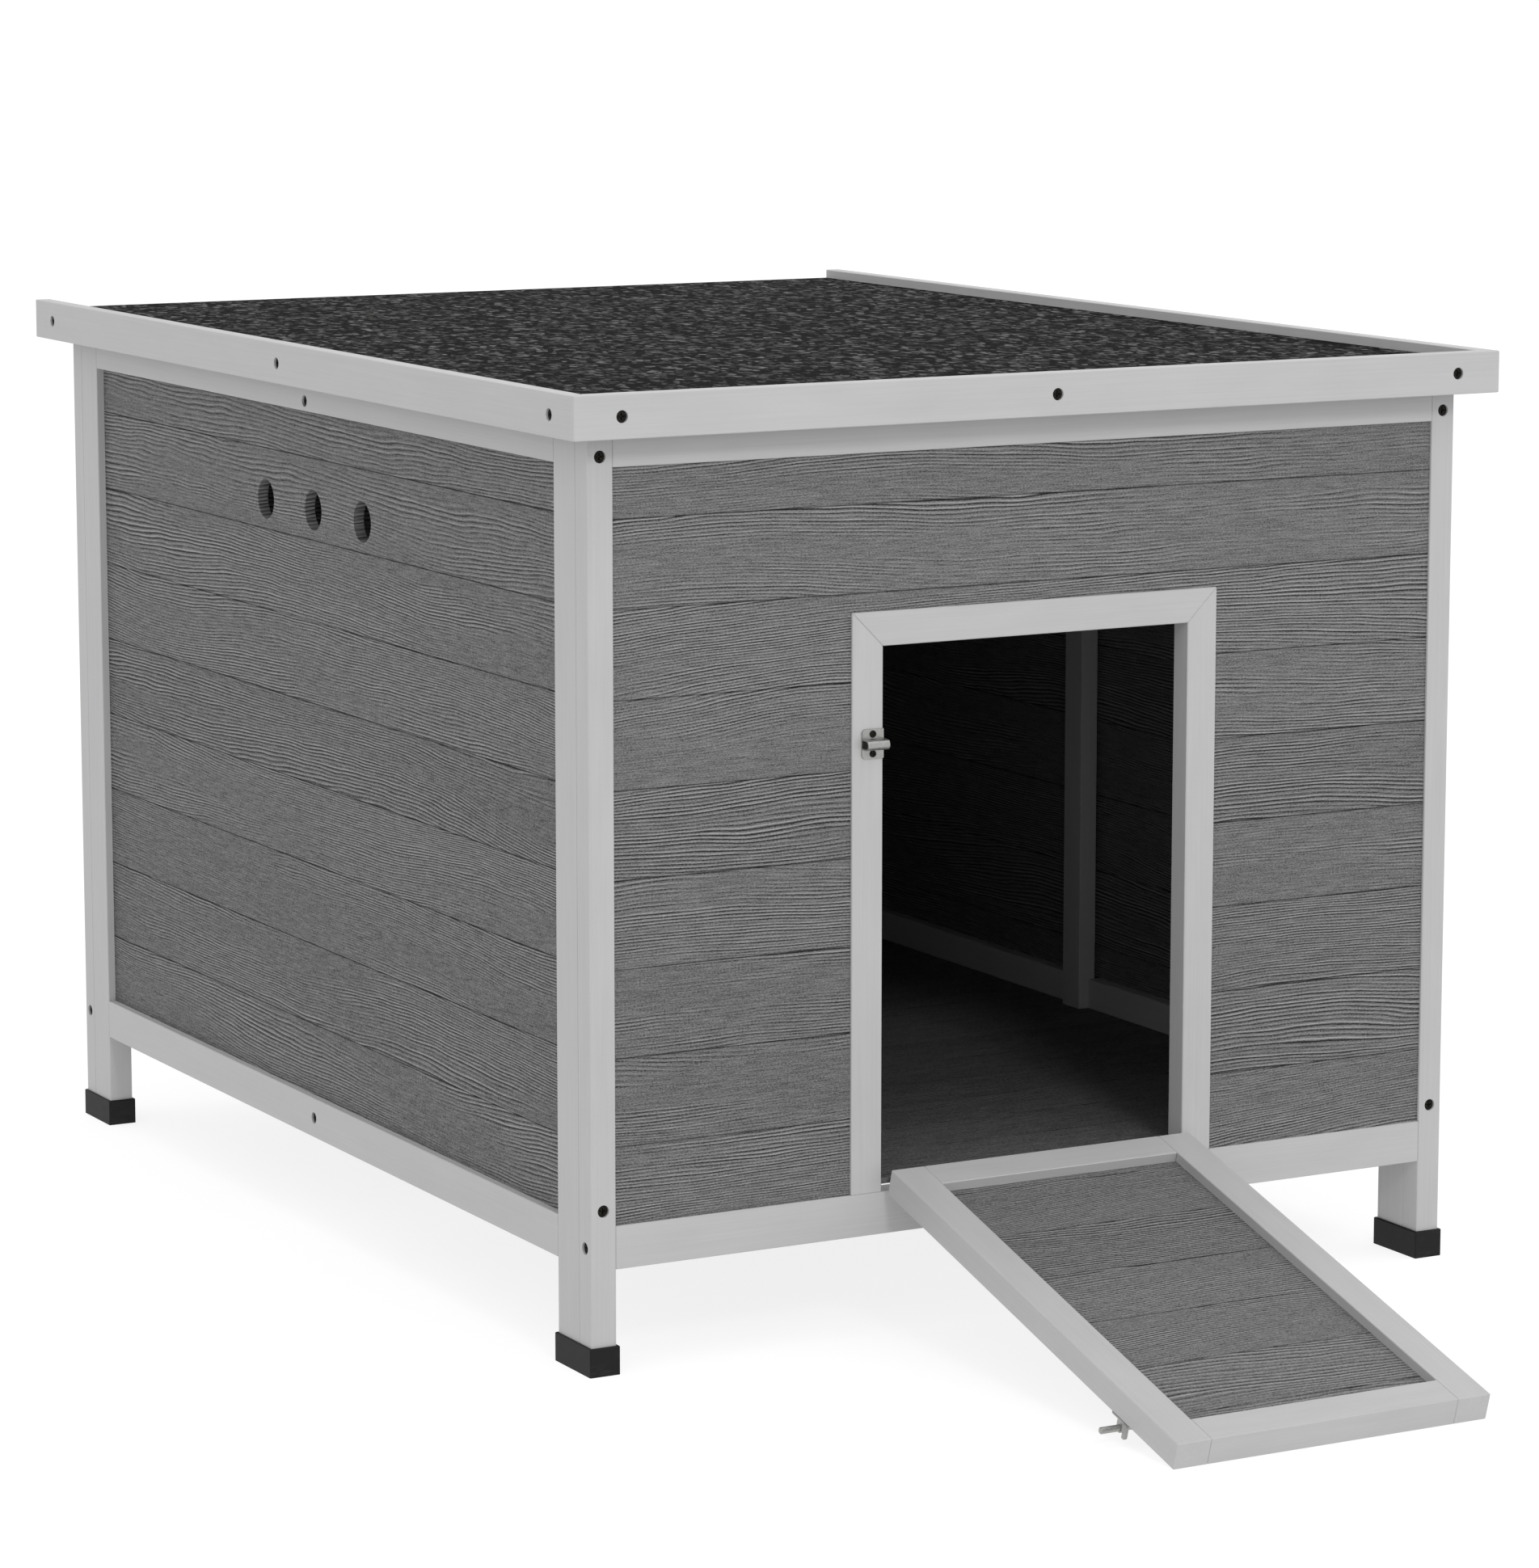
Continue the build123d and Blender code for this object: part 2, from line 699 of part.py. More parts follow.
with BuildPart() as ramp_moving_leaves:
    hinge_leaves(ramp_leaf_pins, 1, middle_knuckle=True)
    drill_fittings(ramp_moving_screws)
keep(ramp_moving_leaves, "ramp_hinge_moving_leaves")

with BuildPart() as ramp_hinge_pins:
    hinge_pins(ramp_pins)
keep(ramp_hinge_pins, "ramp_hinge_pins")

# ================================================================ sliding latch on the ramp
with BuildPart() as latch_body:
    with BuildSketch(on_ramp(latch_x, latch_line, ramp_face)):
        RectangleRounded(latch_length, latch_width, keeper_corner)
    extrude(amount=latch_plate)
    strap_starts = (-latch_length / 2, latch_length / 2 - strap_width)
    strap_planes = [
        Plane(
            origin=ramp_plane.from_local_coords((latch_x + start, latch_line, ramp_face)),
            x_dir=ramp_plane.z_dir,
            z_dir=ramp_plane.x_dir,
        )
        for start in strap_starts
    ]
    strap_bore = rod_radius + rod_play
    with BuildSketch(*strap_planes):
        with Locations((rod_stand, 0)):
            Circle(strap_bore + strap_wall)
        with Locations((rod_stand / 2, 0)):
            Rectangle(rod_stand, 2 * (strap_bore + strap_wall))
    extrude(amount=strap_width)
    with BuildSketch(*strap_planes):
        with Locations((rod_stand, 0)):
            Circle(strap_bore)
    extrude(amount=strap_width, mode=Mode.SUBTRACT)
    drill_fittings(latch_screw_places)
keep(latch_body, "latch_body")

knob_x = latch_x - latch_length / 2 + strap_width + knob_play + knob_radius
latch_travel = latch_length - 2 * strap_width - 2 * knob_play - 2 * knob_radius
rod_line = ramp_face + rod_stand
with BuildPart() as latch_rod:
    rod_start = Plane(
        origin=ramp_plane.from_local_coords((-ramp_half - rod_reach, latch_line, rod_line)),
        x_dir=ramp_plane.z_dir,
        z_dir=ramp_plane.x_dir,
    )
    with BuildSketch(rod_start):
        Circle(rod_radius)
    extrude(amount=rod_reach + latch_length + strap_width)
    chamfer(edges().filter_by(GeomType.CIRCLE), rod_radius / 4)
    with BuildSketch(on_ramp(knob_x, latch_line, rod_line)):
        Circle(knob_radius)
    extrude(amount=knob_reach)
    chamfer(edges().filter_by(GeomType.CIRCLE).group_by(Axis.Z)[0], knob_radius / 3)
keep(latch_rod, "latch_rod")

with BuildPart() as hinge_screws_ramp:
    drive_fittings(ramp_moving_screws)
keep(hinge_screws_ramp, "hinge_screws_ramp")

with BuildPart() as latch_screws:
    drive_fittings(latch_screw_places)
keep(latch_screws, "latch_screws")

# ================================================================ roof
roof_half = half_width + side_overhang
roof_front = front - end_overhang
roof_rear = rear + end_overhang
board_half = roof_half - fascia_thickness
board_front = roof_front + fascia_thickness
fascia_level = roof_under + roof_thickness / 2
fascia_side_ys = (
    roof_front + fascia_screw_inset,
    (roof_front + roof_rear) / 2,
    roof_rear - fascia_screw_inset,
)
fascia_screw_places = [
    end_plane("front", x, fascia_level, roof_front)
    for x in (-roof_half + fascia_screw_inset, 0, roof_half - fascia_screw_inset)
] + [side_plane(side, y, fascia_level, roof_half) for side in side_names.values() for y in fascia_side_ys]

# The moving leaf of a roof hinge lies under the overhang, so its pin plane is turned a quarter.
roof_leaf_pins = [
    Plane(origin=pin.origin, x_dir=(-1, 0, 0), z_dir=(0, 0, -1)) for pin in roof_pins
]
roof_moving_screws = leaf_screw_places(roof_leaf_pins, 1)

with BuildPart() as roof_board:
    bar((-board_half, board_half), (board_front, roof_rear), (roof_under, roof_top))
    sink_screws(fascia_screw_places, fascia_screw)
    drill_fittings(roof_moving_screws)
keep(roof_board, "roof_board")

with BuildPart() as roof_felt:
    bar((-board_half, board_half), (board_front, roof_rear), (roof_top, roof_top + felt_thickness))
keep(roof_felt, "roof_felt")

with BuildPart() as front_fascia:
    with BuildSketch(Plane.XY.offset(fascia_low)):
        with BuildLine():
            Polyline(
                (-roof_half, roof_front),
                (roof_half, roof_front),
                (board_half, board_front),
                (-board_half, board_front),
                close=True,
            )
        make_face()
    extrude(amount=fascia_height)
    ease(front_fascia)
    sink_screws(fascia_screw_places, fascia_screw)
keep(front_fascia, "front_fascia")

for side_name, side in side_names.items():
    with BuildPart() as side_fascia:
        with BuildSketch(Plane.XY.offset(fascia_low)):
            with BuildLine():
                Polyline(
                    (side * roof_half, roof_front),
                    (side * roof_half, roof_rear),
                    (side * board_half, roof_rear),
                    (side * board_half, board_front),
                    close=True,
                )
            make_face()
        extrude(amount=fascia_height)
        ease(side_fascia)
        sink_screws(fascia_screw_places, fascia_screw)
    keep(side_fascia, f"{side_name}_fascia")

with BuildPart() as fascia_screws:
    drive_screws(fascia_screw_places, fascia_screw)
keep(fascia_screws, "fascia_screws")

with BuildPart() as roof_fixed_leaves:
    hinge_leaves(roof_pins, -1, middle_knuckle=False)
    drill_fittings(roof_fixed_screws)
keep(roof_fixed_leaves, "roof_hinge_fixed_leaves")

with BuildPart() as roof_moving_leaves:
    hinge_leaves(roof_leaf_pins, 1, middle_knuckle=True)
    drill_fittings(roof_moving_screws)
keep(roof_moving_leaves, "roof_hinge_moving_leaves")

with BuildPart() as roof_hinge_pins:
    hinge_pins(roof_pins)
keep(roof_hinge_pins, "roof_hinge_pins")

with BuildPart() as hinge_screws_roof:
    drive_fittings(roof_moving_screws)
keep(hinge_screws_roof, "hinge_screws_roof")

with BuildPart() as hinge_screws_house:
    drive_fittings(ramp_fixed_screws + roof_fixed_screws)
keep(hinge_screws_house, "hinge_screws_house")

print(f"front face y {front:.3f}, rear face y {rear:.3f}")
print(f"ramp pin y {front - pin_stand:.3f} z {pin_level:.3f}, ramp slope {ramp_slope:.4f} deg")
print(f"roof pin y {rear + knuckle_radius:.3f} z {roof_under - knuckle_radius:.3f}")
print(f"latch travel {latch_travel:.2f}")
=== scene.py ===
# %% [markdown]
# # A small framed animal hutch
#
# The real hutch is a box of thin grained boards held in a painted softwood frame, on four capped
# legs, with a felted roof that is hinged at the back and a door that drops down to make a ramp.
# Every solid part is already made to size as a CAD model, so this lesson is about what Blender
# adds: the paint, the grain, the mineral felt, the plating and the light. Lengths are in metres.

import json
import math

import bpy
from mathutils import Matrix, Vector

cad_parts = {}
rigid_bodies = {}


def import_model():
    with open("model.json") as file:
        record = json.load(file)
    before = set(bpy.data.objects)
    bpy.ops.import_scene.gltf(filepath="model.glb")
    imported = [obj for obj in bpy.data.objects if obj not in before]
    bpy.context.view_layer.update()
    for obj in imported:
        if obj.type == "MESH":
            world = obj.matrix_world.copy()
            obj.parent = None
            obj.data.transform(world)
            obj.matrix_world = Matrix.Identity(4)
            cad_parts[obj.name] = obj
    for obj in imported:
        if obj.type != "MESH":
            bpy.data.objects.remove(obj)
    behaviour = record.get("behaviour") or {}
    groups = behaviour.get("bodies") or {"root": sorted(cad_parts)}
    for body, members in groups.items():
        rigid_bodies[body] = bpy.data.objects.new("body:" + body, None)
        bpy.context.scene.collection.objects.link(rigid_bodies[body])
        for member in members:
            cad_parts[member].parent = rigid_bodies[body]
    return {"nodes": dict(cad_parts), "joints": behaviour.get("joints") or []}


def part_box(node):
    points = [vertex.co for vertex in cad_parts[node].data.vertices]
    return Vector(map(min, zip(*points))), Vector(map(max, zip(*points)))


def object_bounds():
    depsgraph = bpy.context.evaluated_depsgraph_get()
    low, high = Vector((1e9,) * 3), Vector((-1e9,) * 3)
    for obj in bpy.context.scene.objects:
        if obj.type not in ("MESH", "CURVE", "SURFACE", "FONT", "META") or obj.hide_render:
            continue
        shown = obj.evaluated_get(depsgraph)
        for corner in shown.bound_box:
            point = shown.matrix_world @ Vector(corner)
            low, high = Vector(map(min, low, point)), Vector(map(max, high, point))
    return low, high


for leftover in list(bpy.data.objects):
    bpy.data.objects.remove(leftover)
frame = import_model()
cad_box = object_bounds()
nodes = frame["nodes"]
joints = {joint["name"]: joint for joint in frame["joints"]}
print(len(nodes), "solid parts, box", [round(v, 3) for v in cad_box[1] - cad_box[0]])

# %% [markdown]
# ## Writing shader maths as sums
#
# A material in Blender is a graph of nodes. Drawing it by hand is pleasant for three nodes and hard
# to read for thirty. Another way is to build every node with its own lines of code, which is long.
# Here one small class stands for an output socket, and Python's own operators add the Math nodes,
# so a pattern reads like the formula it is. One method, `node`, makes every other kind of node.

# %% A socket that can be used in sums
class Wire:
    """One output socket of a material. An operator on it adds a Math node and gives its output."""

    def __init__(self, tree, socket=None):
        self.tree = tree
        self.socket = socket

    def node(self, kind, settings=None, inputs=None, out=0):
        """Adds a node: settings first, then socket values or links, keyed by name or number."""
        made = self.tree.nodes.new(kind)
        for key, value in (settings or {}).items():
            if key == "stops":
                self.set_stops(made.color_ramp, value)
            else:
                setattr(made, key, value)
        for key, value in (inputs or {}).items():
            if isinstance(value, Wire):
                self.tree.links.new(value.socket, made.inputs[key])
            else:
                made.inputs[key].default_value = value
        return Wire(self.tree, made.outputs[out])

    @staticmethod
    def set_stops(ramp, stops):
        """Gives a colour ramp its stops, each a place from 0 to 1 and a grey value."""
        while len(ramp.elements) < len(stops):
            ramp.elements.new(0.5)
        for element, (place, grey) in zip(ramp.elements, stops):
            element.position = place
            element.color = (grey, grey, grey, 1)

    def math(self, operation, *values):
        """A Math node with this value first."""
        inputs = dict(enumerate((self, *values)))
        return self.node("ShaderNodeMath", {"operation": operation}, inputs)

    def __add__(self, other):
        return self.math("ADD", other)

    def __sub__(self, other):
        return self.math("SUBTRACT", other)

    def __rsub__(self, other):
        return self * -1 + other

    def __mul__(self, other):
        return self.math("MULTIPLY", other)

    def __truediv__(self, other):
        return self.math("DIVIDE", other)

    __radd__ = __add__
    __rmul__ = __mul__

    def along(self, direction):
        """How far this point lies along a direction, in metres."""
        inputs = {0: self, 1: tuple(direction)}
        return self.node("ShaderNodeVectorMath", {"operation": "DOT_PRODUCT"}, inputs, "Value")

    def point(self, x, y, z):
        """A point made of three values."""
        return self.node("ShaderNodeCombineXYZ", None, {0: x, 1: y, 2: z})

    def stretch(self, waves):
        """This point with its axes scaled, so that noise read there has that many waves a metre."""
        return self.node("ShaderNodeVectorMath", {"operation": "MULTIPLY"}, {0: self, 1: waves})

    def noise(self, detail, roughness):
        """Soft noise from 0 to 1 at this point, one wave to a unit."""
        inputs = {"Vector": self, "Scale": 1.0, "Detail": detail, "Roughness": roughness}
        return self.node("ShaderNodeTexNoise", None, inputs, "Fac")

    def random(self):
        """A random value from 0 to 1 for every value given."""
        settings = {"noise_dimensions": "1D"}
        return self.node("ShaderNodeTexWhiteNoise", settings, {"W": self}, "Value")

    def ramp(self, *stops):
        """This value looked up in a table of (place, value) stops."""
        return self.node("ShaderNodeValToRGB", {"stops": stops}, {"Fac": self}, "Color")

    def blend(self, low, high):
        """A colour from low, where this value is 0, to high, where it is 1."""
        settings = {"data_type": "RGBA", "clamp_factor": True}
        return self.node("ShaderNodeMix", settings, {0: self, 6: (*low, 1), 7: (*high, 1)}, out=2)

    def bump(self, height, strength):
        """A normal tilted by this value's slope, for relief of that height in metres."""
        inputs = {"Height": self, "Distance": height, "Strength": strength}
        return self.node("ShaderNodeBump", None, inputs, "Normal")


print("a Wire can:", ", ".join(name for name in vars(Wire) if not name.startswith("_")))

# %% [markdown]
# ## Starting a material
#
# Every finish starts from one Principled shader. A value that is the same all over is set on the
# shader's own socket, and only what changes over the surface is linked to it. The patterns are
# read at Object coordinates: these need no unwrapping, they count in metres, and they stay with a
# part when its joint moves it.

# %% One shader, its links and its parts
def new_material(name, **shader):
    """A material with one Principled shader.

    Gives the material, a wire at the surface point, and the shader.
    """
    material = bpy.data.materials.new(name)
    material.use_nodes = True
    shader_node = material.node_tree.nodes["Principled BSDF"]
    for key, value in shader.items():
        shader_node.inputs[key.replace("_", " ")].default_value = value
    place = Wire(material.node_tree).node("ShaderNodeTexCoord", out="Object")
    return material, place, shader_node


def feed(shader_node, **wires):
    """Links wires to the named sockets of a shader."""
    for key, wire in wires.items():
        wire.tree.links.new(wire.socket, shader_node.inputs[key.replace("_", " ")])


def give(material, *names):
    """Puts a material on solid parts."""
    for name in names:
        mesh = nodes[name].data
        mesh.materials.clear()
        mesh.materials.append(material)
    print(material.name, "on", len(names), "parts")


print(len(nodes), "parts wait for a finish")

# %% [markdown]
# ## Which way the wood runs
#
# Every bar and board has its own grain direction, so the wood patterns need to know it. The ramp
# lies at an angle, and its own direction comes from its hinge: the joint turns past a right angle
# by exactly the ramp's slope.

# %% Directions
ACROSS = Vector((1, 0, 0))
BACK = Vector((0, 1, 0))
UP = Vector((0, 0, 1))
ramp_joint = joints["ramp_hinge"]
ramp_pin = Vector(ramp_joint["pos_m"])
ramp_slope = math.radians(ramp_joint["range_deg"][1] - 90)
RAMP_DOWN = Vector((0, -math.cos(ramp_slope), -math.sin(ramp_slope)))
print("ramp slope", round(math.degrees(ramp_slope), 2), "degrees")

# %% [markdown]
# ## Painted frame
#
# The bars are planed softwood under one coat of light grey paint. The paint hides the colour of
# the wood but not all of its figure: long, faint ridges run along each bar, and the coat is a
# little uneven. A single grey would look like plastic. Two stretched noises do the work, one for
# the ridges and one for the coat, and both are kept weak, because on a real bar they only show in
# raking light. A third, very fine one gives the surface of the dried paint. The waves are counted
# to the metre: along the bar, then twice across it.

# %% Paint over planed wood
PAINT_LOW = (0.378, 0.378, 0.378)
PAINT_HIGH = (0.434, 0.434, 0.434)
RIDGE_WAVES = (9, 620, 620)
COAT_WAVES = (16, 45, 45)
PEEL_WAVES = (700, 700, 700)
RIDGE_HEIGHT = 0.00018


def painted_bar(name, grain):
    """Light grey satin paint with the ridges of the wood running along grain."""
    material, place, shader_node = new_material(name, Roughness=0.5, Specular_IOR_Level=0.35)
    side = grain.orthogonal().normalized()
    other = grain.cross(side)
    wood = place.point(place.along(grain), place.along(side), place.along(other))
    ridges = wood.stretch(RIDGE_WAVES).noise(3, 0.55)
    coat = wood.stretch(COAT_WAVES).noise(2, 0.6)
    peel = wood.stretch(PEEL_WAVES).noise(1, 0.5)
    shade = 0.5 + (ridges - 0.5) * 0.9 + (coat - 0.5) * 0.8
    relief = ridges * 0.8 + peel * 0.2
    feed(shader_node, Base_Color=shade.blend(PAINT_LOW, PAINT_HIGH),
         Roughness=0.44 + coat * 0.14, Normal=relief.bump(RIDGE_HEIGHT, 0.5))
    return material


give(painted_bar("paint_across", ACROSS), "front_top_rail", "front_bottom_rail", "rear_top_rail",
     "rear_bottom_rail", "door_head", "front_fascia", "ramp_hinge_rail", "ramp_outer_rail",
     "floor_bearer")
give(painted_bar("paint_back", BACK), "left_top_rail", "left_bottom_rail", "right_top_rail",
     "right_bottom_rail", "left_fascia", "right_fascia", "left_battens", "right_battens")
give(painted_bar("paint_up", UP), "front_post_left", "front_post_right", "rear_post_left",
     "rear_post_right", "left_front_stile", "left_rear_stile", "right_front_stile",
     "right_rear_stile", "left_middle_stud", "right_middle_stud", "door_jamb_left",
     "door_jamb_right")
give(painted_bar("paint_ramp", RAMP_DOWN), "ramp_stile_left", "ramp_stile_right")

# %% [markdown]
# ## Grained boards
#
# The walls are thin boards with a deep-brushed grain, stained grey. Brushing takes the soft wood
# away between the growth rings, so each ring stands up as a pale crest with a dark line beside it,
# and the rings drift into long arches. A wave texture gives even stripes, which look like cloth.
# Instead the pattern is made as a tree makes it: rings are the contour lines of a slowly changing
# field. The field is the distance across the board, pushed about by a stretched noise, and its
# fraction part gives one ring after another. A patchy mask lets the rings fade and come back.
# Seams are real grooves in the boards, so the pattern only darkens them, and each board between
# two seams takes its own piece of the field and its own shade.

# %% Sizes of the grain
SEAM_PITCH = 0.061  # from one seam to the next
SEAM_SHADE = 0.0008  # how far its dark edge reaches on either side
RING = 0.0024  # from one growth ring to the next
BRUSH_DEPTH = 0.0005
STAIN_LOW = (0.012, 0.012, 0.012)
STAIN_HIGH = (0.355, 0.355, 0.355)
DRIFT_WAVES, DRIFT_RINGS = (2.1, 8, 2.1), 27  # a slow drift, and how many rings it shifts
WOBBLE_WAVES, WOBBLE_RINGS = (15, 50, 3), 2.0  # a quick, small wobble, and its rings
PATCH_WAVES = (3.4, 24, 2)  # where the rings fade
FIBRE_WAVES = (60, 1500, 5)
SPECK_WAVES = (700, 1500, 60)
BOARD_LUCK, RING_LUCK = 0.37, 0.5  # added to a count, so boards and rings draw apart
CUT_ALONG, CUT_WIDE = 5.3, 1.7  # how far apart in the tree two boards may be cut
# Across one ring, from 0 to 1: the dark line first, then the crest.
CREST = ((0.0, 0.5), (0.12, 0.12), (0.20, 0.0), (0.28, 0.12), (0.42, 0.5), (0.55, 0.95),
         (0.66, 1.0), (0.80, 0.55), (1.0, 0.5))
print(round(SEAM_PITCH / RING), "rings to a board of", SEAM_PITCH * 1000, "mm")


# %% Rings, fibres and boards
def grained_board(name, grain, across, first_seam, tone_and_painted_shade=0.312):
    """Grey stained board with brushed grain.

    Seams lie at first_seam and at every pitch from it, measured along across. The tone is where
    the plain wood between the rings lies from the dark stain, 0, to the light one, 1. Where it
    differs between walls or the floor, it holds painted light and painted shade.
    """
    material, place, shader_node = new_material(name, Specular_IOR_Level=0.2)
    run, wide, deep = place.along(grain), place.along(across), place.along(grain.cross(across))
    boards = (first_seam - wide) / SEAM_PITCH
    luck = (boards.math("FLOOR") + BOARD_LUCK).random()
    seam_off = ((boards + 0.5).math("FRACT") - 0.5).math("ABSOLUTE") * SEAM_PITCH
    seam = (seam_off / SEAM_SHADE).ramp((0.0, 1.0), (0.5, 0.75), (1.0, 0.0))
    field = wide + luck * CUT_WIDE
    wood = place.point(run + luck * CUT_ALONG, field, deep)
    drift = wood.stretch(DRIFT_WAVES).noise(1, 0.4)
    wobble = wood.stretch(WOBBLE_WAVES).noise(1, 0.5)
    rings = field / RING + (drift - 0.5) * DRIFT_RINGS + (wobble - 0.5) * WOBBLE_RINGS
    crest = rings.math("FRACT").ramp(*CREST)
    depth = (rings.math("FLOOR") + RING_LUCK).random()
    patch = wood.stretch(PATCH_WAVES).noise(2, 0.5)
    clear = patch.ramp((0.38, 0.06), (0.56, 1.0)) * (depth * 0.9 + 0.3)
    fibre = wood.stretch(FIBRE_WAVES).noise(1, 0.5)
    speck = wood.stretch(SPECK_WAVES).noise(1, 0.5)
    shade = (
        tone_and_painted_shade
        + (crest - 0.5) * clear * 0.82
        + (fibre - 0.5) * 0.50
        + (speck - 0.5) * 0.80
        + (patch - 0.5) * 0.10
        + (luck - 0.5) * 0.04
        - seam * (speck * 0.26 + 0.02)
    )
    relief = crest * clear * 0.7 + fibre * 0.5
    feed(shader_node, Base_Color=shade.blend(STAIN_LOW, STAIN_HIGH),
         Roughness=0.68 - crest * 0.1, Normal=relief.bump(BRUSH_DEPTH, 0.7))
    return material


# %% Boards on the house, the ramp, the floor and the roof
WALL_TOP_BOARD = 0.0395  # from the top edge of a wall to its first seam
RAMP_END_BOARD = 0.0425  # from the ramp's outer end to its first seam
wall_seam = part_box("front_board")[1].z - WALL_TOP_BOARD
outer_rail = nodes["ramp_outer_rail"].data.vertices
ramp_end = max((Vector(v.co) - ramp_pin).dot(RAMP_DOWN) for v in outer_rail)
ramp_seam = ramp_end - RAMP_END_BOARD + ramp_pin.dot(RAMP_DOWN)
# The front and rear boards get a lighter tone as painted light, and the side boards a darker tone
# as painted shade for the walls that get less light.
give(grained_board("boards_across", ACROSS, UP, wall_seam, 0.326), "front_board", "rear_board")
give(grained_board("boards_back", BACK, UP, wall_seam, 0.288), "left_board", "right_board")
give(grained_board("boards_ramp", ACROSS, RAMP_DOWN, ramp_seam, 0.33), "ramp_board")
# The floor inside the house gets the darkest tone: painted shade under the roof.
give(grained_board("board_floor", ACROSS, BACK, cad_box[1].y, 0.25), "floor_panel")
give(grained_board("board_roof", BACK, ACROSS, cad_box[1].x), "roof_board")

# %% [markdown]
# ## Mineral felt
#
# Roofing felt is bitumen with crushed slate pressed into it. The grains gather into flecks about
# five millimetres wide, most of them nearly black, a few of them pale where a face catches the
# light. A noise is too smooth for it. A Voronoi texture splits the plane into cells of the right
# size, each with its own random value, so a ramp can choose how many flecks are pale. The cells are
# a little longer towards the back, and a fine noise breaks each one up.

# %% Felt with slate grains
FLECK_WIDTH = 0.0046
FLECK_LENGTH = 0.00736
STONE_AND_GLINT = (0.18, 0.18, 0.177)
BITUMEN = (0.001, 0.001, 0.0011)
FELT_RELIEF = 0.0012
material, place, shader_node = new_material(
    "mineral_felt", Roughness=0.95, Specular_IOR_Level=0.05)
fleck = {"Vector": place.stretch((1 / FLECK_WIDTH, 1 / FLECK_LENGTH, 0)), "Scale": 1.0}
cell = place.node("ShaderNodeTexVoronoi", {"feature": "F1"}, fleck, "Color")
edge = place.node("ShaderNodeTexVoronoi", {"feature": "DISTANCE_TO_EDGE"}, fleck, "Distance")
value = cell.node("ShaderNodeSeparateColor", None, {0: cell}, "Red")
tilt = cell.node("ShaderNodeSeparateColor", None, {0: cell}, "Green")
fine = place.stretch((520, 190, 0)).noise(2, 0.6)
# Pale flecks are partly paler slate grains and partly painted glints, where a grain's face catches
# the light.
pale = value.ramp((0.0, 0.0), (0.44, 0.02), (0.60, 0.24), (0.84, 0.44), (1.0, 1.0))
slate_and_glint = pale * edge.ramp((0.0, 0.2), (0.12, 1.0))
shade = slate_and_glint * 0.84 + (fine - 0.5) * 0.65 - 0.045
feed(shader_node, Base_Color=shade.blend(BITUMEN, STONE_AND_GLINT),
     Normal=(tilt * 0.6 + edge * 1.2 + fine * 0.5).bump(FELT_RELIEF, 0.3))
give(material, "roof_felt")

# %% [markdown]
# ## Foot caps
#
# The caps are pushed-on mouldings in black polyethylene. What tells the eye that is a soft, wide
# highlight from the spark-eroded texture of the mould, and scuffs near the ground. Both are
# noises, one very fine for the mould, one coarse for the scuffs.

# %% Black moulded plastic
CAP_BLACK = (0.006, 0.006, 0.0062)
CAP_SCUFFED = (0.020, 0.0198, 0.0192)
SCUFF_HEIGHT = 0.012
MOULD_RELIEF = 0.00006
material, place, shader_node = new_material("cap_plastic", Specular_IOR_Level=0.2)
scuff = place.stretch((90, 90, 300)).noise(4, 0.65)
mould = place.stretch((2600, 2600, 2600)).noise(1, 0.5)
low = ((SCUFF_HEIGHT - place.along(UP)) * 60).math("MAXIMUM", 0.0)
worn = scuff.ramp((0.48, 0.0), (0.72, 1.0)) * (0.35 + low * 0.5)
feed(shader_node, Base_Color=worn.blend(CAP_BLACK, CAP_SCUFFED),
     Roughness=0.46 + scuff * 0.2, Normal=mould.bump(MOULD_RELIEF, 0.6))
give(material, *[name for name in nodes if name.startswith("foot_cap")])

# %% [markdown]
# ## Plated fittings
#
# The hinges and the latch are pressed steel with bright zinc on it. New zinc is not a mirror: it
# is a patchwork of dull and less dull areas with drawing lines from the press. So the metal's
# roughness changes as well as its colour.

# %% Zinc plating
ZINC_DULL = (0.20, 0.20, 0.194)
ZINC_BRIGHT = (0.50, 0.50, 0.485)
ZINC_RELIEF = 0.00005
material, place, shader_node = new_material("zinc_plate", Metallic=1.0)
bloom = place.stretch((420, 420, 420)).noise(4, 0.6)
drawn = place.stretch((180, 5200, 5200)).noise(2, 0.5)
feed(shader_node, Base_Color=(bloom * 0.8 + drawn * 0.2).blend(ZINC_DULL, ZINC_BRIGHT),
     Roughness=0.26 + bloom * 0.3, Normal=(drawn * 0.6 + bloom * 0.4).bump(ZINC_RELIEF, 0.5))
give(material, "latch_keeper", "latch_body", "latch_rod", "ramp_hinge_fixed_leaves",
     "ramp_hinge_moving_leaves", "ramp_hinge_pins", "roof_hinge_fixed_leaves",
     "roof_hinge_moving_leaves", "roof_hinge_pins", "hinge_screws_house", "hinge_screws_ramp",
     "hinge_screws_roof")

# %% [markdown]
# ## Screws
#
# The screws that hold the timber are blackened, with a brassy bloom where the coating is thin.
# They sit deep in their counterbores, so they only need to be dark, slightly metallic and uneven.

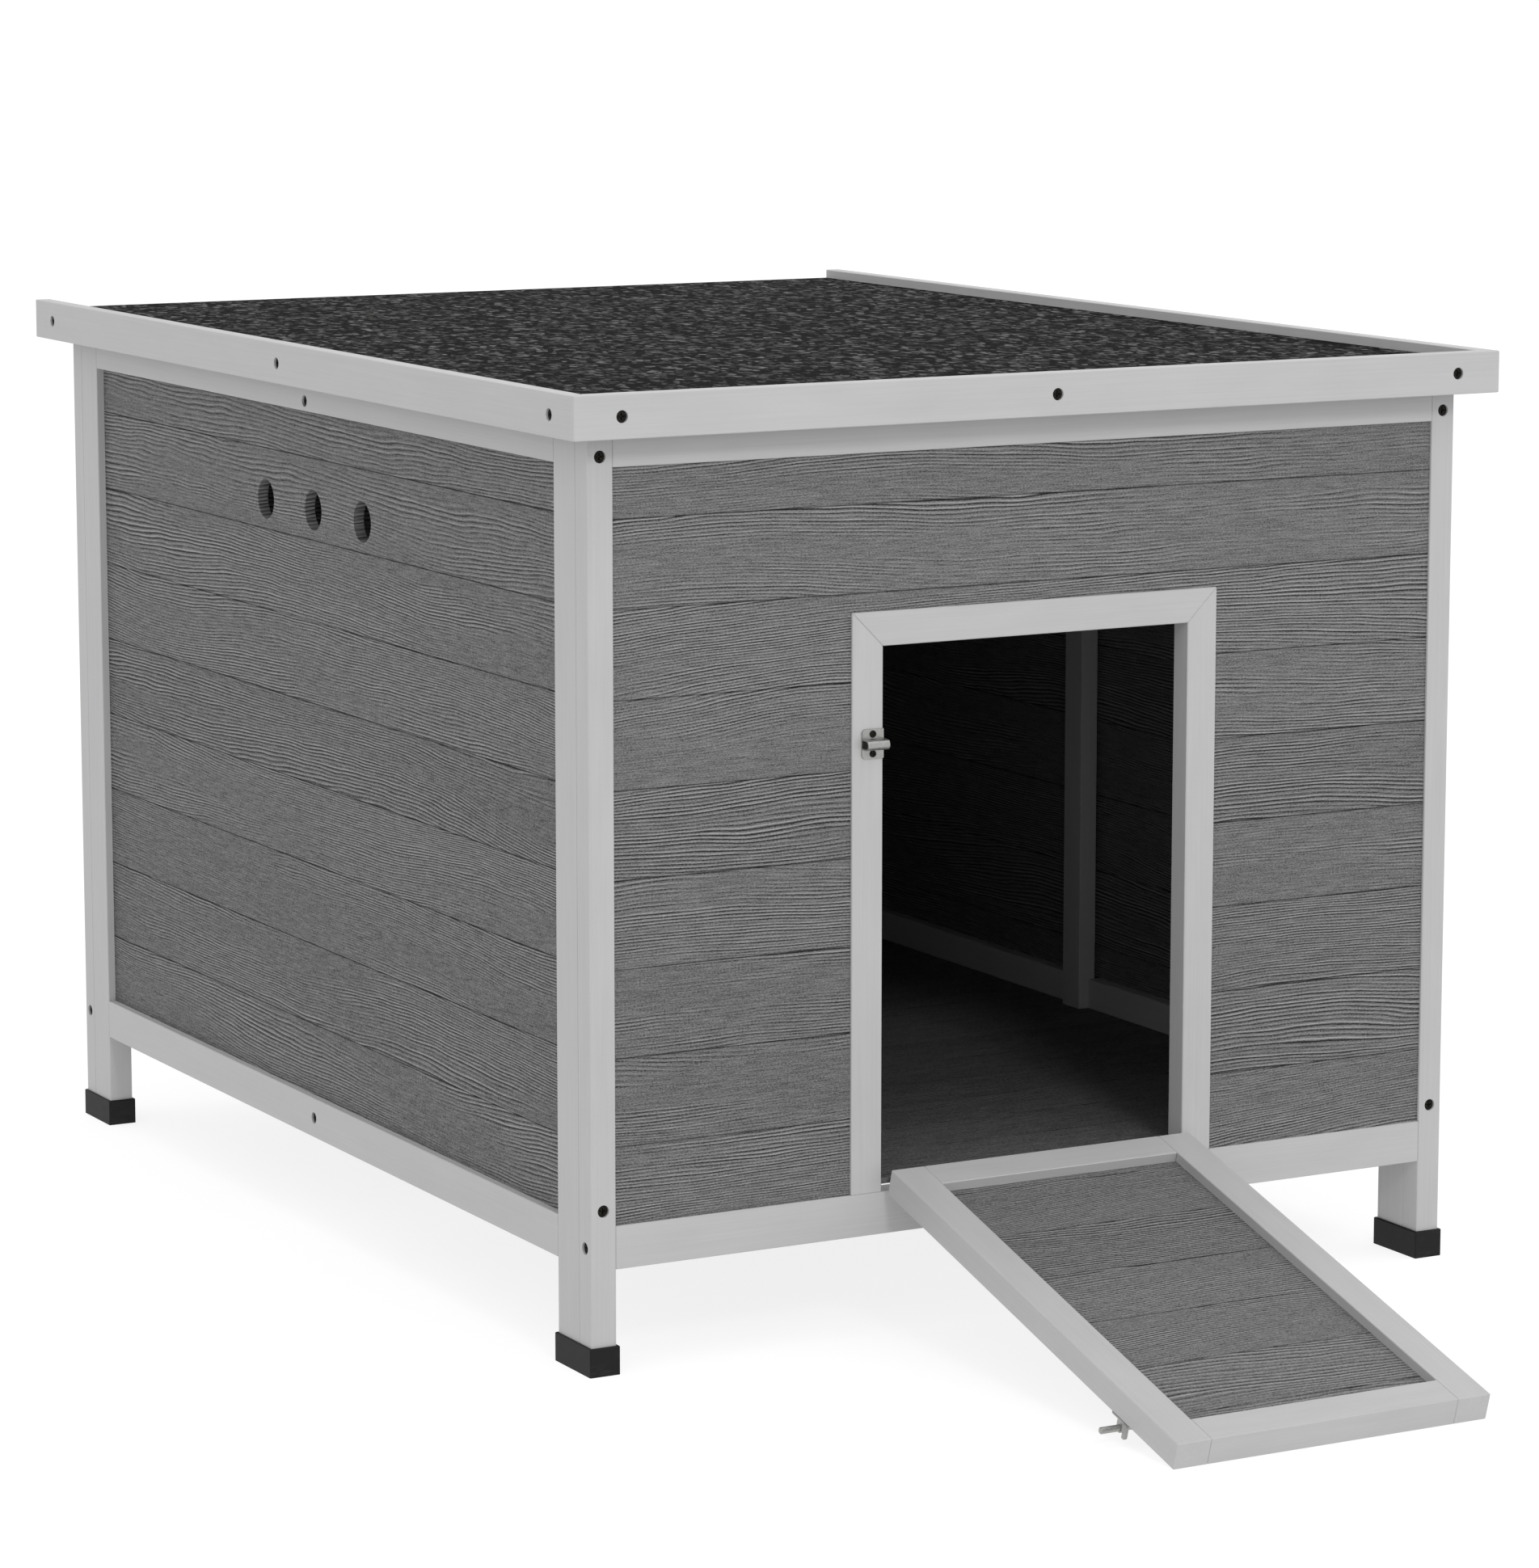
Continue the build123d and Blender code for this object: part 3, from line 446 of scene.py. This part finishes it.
# %% Blackened screws
SCREW_BLACK = (0.004, 0.004, 0.004)
SCREW_BRASSY = (0.036, 0.029, 0.019)
SCREW_RELIEF = 0.00008
material, place, shader_node = new_material("black_screw", Metallic=0.4, Specular_IOR_Level=0.2)
thin = place.stretch((900, 900, 900)).noise(3, 0.6)
feed(shader_node,
     Base_Color=thin.ramp((0.45, 0.0), (0.75, 1.0)).blend(SCREW_BLACK, SCREW_BRASSY),
     Roughness=0.38 + thin * 0.3, Normal=thin.bump(SCREW_RELIEF, 0.4))
give(material, "frame_screws", "stud_screws", "fascia_screws", "keeper_screws", "latch_screws")

# %% [markdown]
# ## Floor and light
#
# A pale object wants a pale floor and soft light from everywhere, with one side of the object
# slightly darker than the other so that its corner reads. A plain white sky does most of it. The
# floor glows a little, which brings it up to the white of the sky, so no horizon shows. One wide
# lamp above lifts the top, and one small lamp in front lifts the doorway side.

# %% Studio floor
FLOOR_LOW = (0.19, 0.19, 0.19)
FLOOR_HIGH = (0.21, 0.21, 0.21)
FLOOR_GLOW = 0.83
bpy.ops.mesh.primitive_plane_add(size=90)
floor = bpy.context.object
floor.name = "studio_floor"
material, place, shader_node = new_material(
    "studio_floor", Roughness=0.9, Specular_IOR_Level=0.1, Emission_Color=(1, 1, 1, 1),
    Emission_Strength=FLOOR_GLOW)
cloud = place.stretch((2, 2, 0)).noise(2, 0.5)
feed(shader_node, Base_Color=cloud.blend(FLOOR_LOW, FLOOR_HIGH))
floor.data.materials.append(material)
print("studio floor", round(floor.dimensions.x), "m wide")

# %% Sky and lamps
world = bpy.data.worlds.new("studio")
bpy.context.scene.world = world
world.use_nodes = True
sky = world.node_tree.nodes["Background"].inputs
sky["Color"].default_value = (1, 1, 1, 1)
sky["Strength"].default_value = 1.0


def lamp(name, place, target, size, watts):
    """A square area lamp at place, aimed at target."""
    light = bpy.data.lights.new(name, "AREA")
    light.size = size
    light.energy = watts
    lamp_object = bpy.data.objects.new(name, light)
    lamp_object.location = place
    aim = Vector(target) - Vector(place)
    lamp_object.rotation_euler = aim.to_track_quat("-Z", "Y").to_euler()
    bpy.context.scene.collection.objects.link(lamp_object)


lamp("lamp_above", (0.4, -0.6, 3.6), (0, 0, 0.4), 3.2, 31)
lamp("lamp_front", (-0.67, -3.86, 2.95), (0, -0.28, 0.3), 0.8, 43)
print("white sky and", len(bpy.data.lights), "lamps")

# %% [markdown]
# ## Camera
#
# The camera stands to the left of the doorway, a little above the roof, with a long lens, so the
# uprights stay almost parallel. The lens is shifted slightly instead of tilting the camera more.

# %% Camera
LENS = 124.44
SHIFT_SIDE, SHIFT_UP = 0.00258, -0.01959
LOOK_DOWN, LOOK_RIGHT = math.radians(9.04), math.radians(28.64)
data = bpy.data.cameras.new("camera")
data.sensor_width = 36
data.lens = LENS
data.shift_x = SHIFT_SIDE
data.shift_y = SHIFT_UP
camera = bpy.data.objects.new("camera", data)
camera.location = (-1.955, -3.468, 0.996)
camera.rotation_euler = (math.radians(90) - LOOK_DOWN, 0, -LOOK_RIGHT)
bpy.context.scene.collection.objects.link(camera)
bpy.context.scene.camera = camera
bpy.context.scene.view_settings.view_transform = "Standard"
print("camera", round(camera.location.length, 2), "m away, lens", LENS, "mm")

# %% [markdown]
# ## Finishes
#
# Blender only dresses the parts, so the box around them has to be the same before and after. The
# last cell counts the finishes on the parts.

# %% Count the finishes
finishes = {slot.material.name for part in nodes.values() for slot in part.material_slots}
print(len(finishes), "finishes on", len(nodes), "parts")
